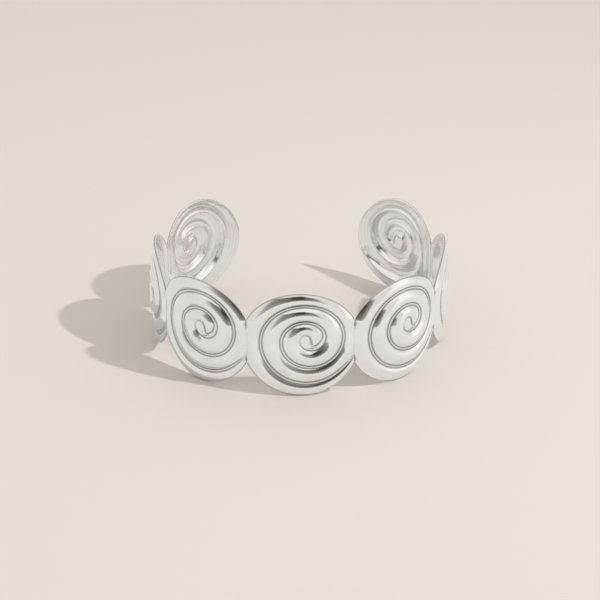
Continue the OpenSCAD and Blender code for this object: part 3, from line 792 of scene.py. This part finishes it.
def silverPlate():
    # bright silver plate over pressed brass: a mirror that wavers a little, with faint buffing
    # marks, and a soft grey in the creases, folds, rim and edge that is partly tarnish and partly
    # painted shade
    plate = {
        "silver": "#FBFAF8",
        "worn": "#F5F3EF",
        # the dark grey of the painted shade and the tarnish in the creases, folds, rim and edge
        "darkShadeAndTarnish": "#716D66",
        # the most and the least of the painted shade and tarnish, varied by the clouds
        "shadeAndTarnishShare": 0.85,
        "leastShadeAndTarnish": 0.68,
        "roughness": 0.07,
        "buffedRoughness": 0.13,
        "creaseRoughness": 0.3,
        "insideRoughness": 0.17,
        "linePeriod": 0.75,
        "lineHeight": 0.014,
        "lineTarnish": 0.13,
        "faintestLine": 0.2,
        "lineEdge": 0.5,  # the cosine of the lines' wave at which their tarnish starts
        "wavePeriod": 3.5,
        "waveHeight": 0.0045,
        "waveRoughness": 1.0,
        "waveLacunarity": 0.4,
        "buffPeriod": 0.35,
        "buffHeight": 0.0004,
        "buffStretch": 0.12,  # how long a mark is up the cuff, as a share of its run along it
        "buffDetail": 3.0,
        "cloudPeriod": 5.0,
        "cloudDetail": 4.0,
        "noiseRange": (0.3, 0.7),  # the part of a noise's values that nearly all of it is in
    }
    material = bpy.data.materials.new("polished silver plate")
    material.use_nodes = True
    tree = material.node_tree
    shader = tree.nodes["Principled BSDF"]
    shader.inputs["Metallic"].default_value = 1.0
    place = addNode(tree, "ShaderNodeTexCoord").outputs["Object"]
    # periods in mm become scales on coordinates in metres
    scales = {name: 1 / (plate[name + "Period"] * millimetre) for name in ("wave", "cloud", "buff")}
    waves = addNode(tree, "ShaderNodeTexNoise", place, scales["wave"], None,
                    plate["waveRoughness"], plate["waveLacunarity"])
    clouds = addNode(tree, "ShaderNodeTexNoise", place, scales["cloud"], plate["cloudDetail"])
    # buffing marks run along the cuff: stretched round it, close together up its height
    stretch = plate["buffStretch"]
    stretched = addNode(tree, "ShaderNodeMapping", place, None, None, (stretch, stretch, 1.0))
    marks = addNode(tree, "ShaderNodeTexNoise", stretched, scales["buff"], plate["buffDetail"])
    # the stored painted shade and tarnish, the way across the inside ridges, and the inside
    shadeAndTarnish, way, inside = [
        addNode(tree, "ShaderNodeAttribute", attribute_name=name).outputs["Fac"]
        for name in ("shadeAndTarnish", "ridgeWay", "inside")
    ]
    cloudy = addNode(tree, "ShaderNodeMapRange", clouds, *plate["noiseRange"])
    marked = addNode(tree, "ShaderNodeMapRange", marks, *plate["noiseRange"])
    uneven = addNode(tree, "ShaderNodeMapRange", cloudy, 0.0, 1.0, plate["leastShadeAndTarnish"],
                     plate["shadeAndTarnishShare"])
    # painted shade and tarnish, unevenly strong, along the creases, folds, rim and edge
    creaseShadeAndTarnish = addNode(tree, "ShaderNodeMath", shadeAndTarnish, uneven, operation="MULTIPLY")
    # the press left fine lines on the inside, along the ridges, and they hold a little tarnish
    lines = addNode(tree, "ShaderNodeMath", way, fullTurn / plate["linePeriod"],
                    operation="MULTIPLY")
    lineWave = addNode(tree, "ShaderNodeMath", lines, operation="COSINE")
    lineShare = addNode(tree, "ShaderNodeMapRange", cloudy, 0.0, 1.0, plate["faintestLine"], 1.0)
    valley = addNode(tree, "ShaderNodeMapRange", lineWave, plate["lineEdge"], -1.0, 0.0,
                     plate["lineTarnish"])
    lineDull = addNode(tree, "ShaderNodeMath", valley, lineShare, operation="MULTIPLY")
    # all the painted shade and tarnish: creases, folds, rim and edge, with the tarnish of the fine
    # inside lines
    darkShadeAndTarnish = addNode(tree, "ShaderNodeMath", creaseShadeAndTarnish, lineDull, operation="MAXIMUM")
    plain = addNode(tree, "ShaderNodeMix", cloudy, linear(plate["silver"]),
                    linear(plate["worn"]), data_type="RGBA")
    tarnished = addNode(tree, "ShaderNodeMix", darkShadeAndTarnish, plain, linear(plate["darkShadeAndTarnish"]),
                        data_type="RGBA")
    buffed = addNode(tree, "ShaderNodeMapRange", marked, 0.0, 1.0, plate["roughness"],
                     plate["buffedRoughness"])
    rough = addNode(tree, "ShaderNodeMapRange", darkShadeAndTarnish, 0.0, 1.0, buffed,
                    plate["creaseRoughness"])
    insideRough = addNode(tree, "ShaderNodeMath", inside, plate["insideRoughness"],
                          operation="MULTIPLY")
    finish = addNode(tree, "ShaderNodeMath", rough, insideRough, operation="MAXIMUM")
    lineHeight = addNode(tree, "ShaderNodeMath", lineWave, lineShare, operation="MULTIPLY")
    bump = None
    for height, name in ((waves, "wave"), (lineHeight, "line"), (marks, "buff")):
        depth = plate[name + "Height"] * millimetre
        bump = addNode(tree, "ShaderNodeBump", 1.0, depth, None, height, bump)
    for name, node in (("Base Color", tarnished), ("Roughness", finish), ("Normal", bump)):
        tree.links.new(resultOf(node), shader.inputs[name])
    return material


def makeFloor():
    floor = {
        "size": 3.0,
        "paper": "#E1D9D1",
        "mirrored": "#DFDFDC",
        "roughness": 0.95,
        "specular": 0.1,
    }
    half = floor["size"] / 2
    corners = [(-half, -half, 0), (half, -half, 0), (half, half, 0), (-half, half, 0)]
    data = bpy.data.meshes.new("floor")
    data.from_pydata(corners, [], [(0, 1, 2, 3)])
    piece = bpy.data.objects.new("floor", data)
    bpy.context.scene.collection.objects.link(piece)
    material = bpy.data.materials.new("matte studio paper")
    material.use_nodes = True
    tree = material.node_tree
    shader = tree.nodes["Principled BSDF"]
    # the silver mirrors it less warm than it is
    seen = addNode(tree, "ShaderNodeLightPath").outputs["Is Glossy Ray"]
    colour = addNode(tree, "ShaderNodeMix", seen, linear(floor["paper"]),
                     linear(floor["mirrored"]), data_type="RGBA")
    tree.links.new(resultOf(colour), shader.inputs["Base Color"])
    shader.inputs["Roughness"].default_value = floor["roughness"]
    shader.inputs["Specular IOR Level"].default_value = floor["specular"]
    data.materials.append(material)
    print("floor made")


def makeLamp():
    # the one small lamp that throws the crisp shadow; its light doesn't fade with distance
    lamp = {
        "place": (232.0, -116.0, 286.0),
        "size": 13.0,
        "power": 4.3,
    }
    light = bpy.data.lights.new("keyLamp", "AREA")
    light.shape = "DISK"
    light.size = lamp["size"] * millimetre
    light.energy = lamp["power"]
    light.use_nodes = True
    falloff = addNode(light.node_tree, "ShaderNodeLightFalloff", 1.0)
    light.node_tree.links.new(falloff.outputs["Constant"],
                              light.node_tree.nodes["Emission"].inputs["Strength"])
    holder = bpy.data.objects.new("keyLamp", light)
    holder.location = Vector(lamp["place"]) * millimetre
    holder.rotation_mode = "QUATERNION"
    holder.rotation_quaternion = Vector(lamp["place"]).to_track_quat("Z", "Y")
    holder.visible_glossy = False
    bpy.context.scene.collection.objects.link(holder)
    print("lamp made")


def makeRoom():
    # soft light from all round
    room = {
        "light": 0.75,
        "colour": "#FFFEFD",
    }
    world = bpy.data.worlds.new("studio")
    bpy.context.scene.world = world
    world.use_nodes = True
    background = world.node_tree.nodes["Background"]
    background.inputs["Color"].default_value = linear(room["colour"])
    background.inputs["Strength"].default_value = room["light"]
    print("room lit")


def tentCloth():
    # white cloth lit from outside, with a soft dark opening where the room shows
    cloth = {
        "colour": "#FFFDFA",
        # how bright: low down, low down on the right side, and high up from left to right
        "low": 0.75,
        "lowRight": 1.0,
        "highLeft": 0.9,
        "highRight": 1.0,
        "riseBlur": 20.0,  # mm from the opening's top, where low turns to high
        "acrossBlur": 50.0,  # mm from the middle, where left turns to right
        # the opening: shares of the way round from the back, and how dark it is there
        "opening": [(0.0, 0.0), (0.35, 0.0), (0.392, 0.66), (0.43, 0.74), (0.462, 0.8),
                    (0.474, 0.92), (0.511, 0.95), (0.52, 0.83), (0.553, 0.68), (0.575, 0.0),
                    (1.0, 0.0)],
        "openingHeight": 97.0,
        "openingBlur": 8.0,
        "footDarkness": 0.65,  # at the floor, and full from half the opening's height
        "sag": 50.0,  # how much lower the opening's top is towards the right
        # angles in radians, from the front towards the right
        "sagFrom": (0.05, 0.6),
        "rightFrom": (0.85, 1.0),
        "rightTo": (1.35, 1.6),
    }
    material = bpy.data.materials.new("lit tent cloth")
    material.use_nodes = True
    tree = material.node_tree
    tree.nodes.clear()
    place = addNode(tree, "ShaderNodeTexCoord").outputs["Object"]
    x, y, z = addNode(tree, "ShaderNodeSeparateXYZ", place).outputs
    ahead = addNode(tree, "ShaderNodeMath", y, -1.0, operation="MULTIPLY")
    angle = addNode(tree, "ShaderNodeMath", x, ahead, operation="ARCTAN2")
    turned = addNode(tree, "ShaderNodeMapRange", angle, -math.pi, math.pi, 0.0, 1.0)
    opening = addNode(tree, "ShaderNodeValToRGB", turned)
    ramp = opening.color_ramp
    while len(ramp.elements) < len(cloth["opening"]):
        ramp.elements.new(0.5)
    for element, (position, dark) in zip(ramp.elements, cloth["opening"]):
        element.position = position
        element.color = (dark, dark, dark, 1.0)
    top = cloth["openingHeight"] * millimetre
    sag = addNode(tree, "ShaderNodeMapRange", angle, *cloth["sagFrom"], 0.0,
                  cloth["sag"] * millimetre)
    raised = addNode(tree, "ShaderNodeMath", z, sag, operation="ADD")
    below = addNode(tree, "ShaderNodeMapRange", raised, top,
                    top - cloth["openingBlur"] * millimetre, 0.0, 1.0)
    deeper = addNode(tree, "ShaderNodeMapRange", z, 0.0, top / 2, cloth["footDarkness"], 1.0)
    shade = addNode(tree, "ShaderNodeMath", below, deeper, operation="MULTIPLY")
    darkness = addNode(tree, "ShaderNodeMath", shade, opening, operation="MULTIPLY")
    rightOn = addNode(tree, "ShaderNodeMapRange", angle, *cloth["rightFrom"], 0.0, 1.0)
    rightOff = addNode(tree, "ShaderNodeMapRange", angle, *cloth["rightTo"], 1.0, 0.0)
    onRight = addNode(tree, "ShaderNodeMath", rightOn, rightOff, operation="MULTIPLY")
    low = addNode(tree, "ShaderNodeMix", onRight, cloth["low"], cloth["lowRight"])
    across = cloth["acrossBlur"] * millimetre
    high = addNode(tree, "ShaderNodeMapRange", x, -across, across, cloth["highLeft"],
                   cloth["highRight"])
    rise = cloth["riseBlur"] * millimetre
    bright = addNode(tree, "ShaderNodeMapRange", z, top - rise, top + rise, low, high)
    left = addNode(tree, "ShaderNodeMath", 1.0, darkness, operation="SUBTRACT")
    strength = addNode(tree, "ShaderNodeMath", bright, left, operation="MULTIPLY")
    glow = addNode(tree, "ShaderNodeEmission", linear(cloth["colour"]), strength)
    addNode(tree, "ShaderNodeOutputMaterial", glow)
    return material


def makeTent():
    # a round white tent, which only the silver sees
    tent = {
        "radius": 140.0,
        "sides": 128,
        # its wall and its rounded roof: how far out and up, in shares of the radius
        "rings": [(1.0, 0.0), (1.0, 0.6), (0.95, 0.8), (0.8, 1.0), (0.5, 1.2), (0.0, 1.3)],
    }
    count = tent["sides"]
    points, faces = [], []
    for out, up in tent["rings"]:
        for i in range(count):
            turn = fullTurn * i / count
            place = Vector((out * math.cos(turn), out * math.sin(turn), up))
            points.append(place * tent["radius"] * millimetre)
    for ring in range(len(tent["rings"]) - 1):
        for i in range(count):
            a, b = ring * count + i, ring * count + (i + 1) % count
            faces.append((a, a + count, b + count, b))
    data = bpy.data.meshes.new("whiteTent")
    data.from_pydata(points, [], faces)
    data.materials.append(tentCloth())
    piece = bpy.data.objects.new("whiteTent", data)
    bpy.context.scene.collection.objects.link(piece)
    for sight in ("camera", "diffuse", "shadow", "transmission"):
        setattr(piece, "visible_" + sight, False)
    print("tent made")


def makeCamera():
    shot = {
        "place": (-2.37, -339.40, 175.75),
        "down": 26.249,
        "turn": -0.425,
        "lens": 107.575,
        "nearest": 10.0,
    }
    data = bpy.data.cameras.new("camera")
    data.lens = shot["lens"]
    data.clip_start = shot["nearest"] * millimetre
    camera = bpy.data.objects.new("camera", data)
    camera.location = Vector(shot["place"]) * millimetre
    camera.rotation_euler = (math.radians(90 - shot["down"]), 0, math.radians(shot["turn"]))
    bpy.context.scene.collection.objects.link(camera)
    bpy.context.scene.camera = camera
    print("camera made")


makeCamera()
spiralCuff = makeCuff(silverPlate())
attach(spiralCuff, "root")
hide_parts("cuff")
makeFloor()
makeLamp()
makeRoom()
makeTent()
bpy.context.scene.view_settings.view_transform = "Standard"
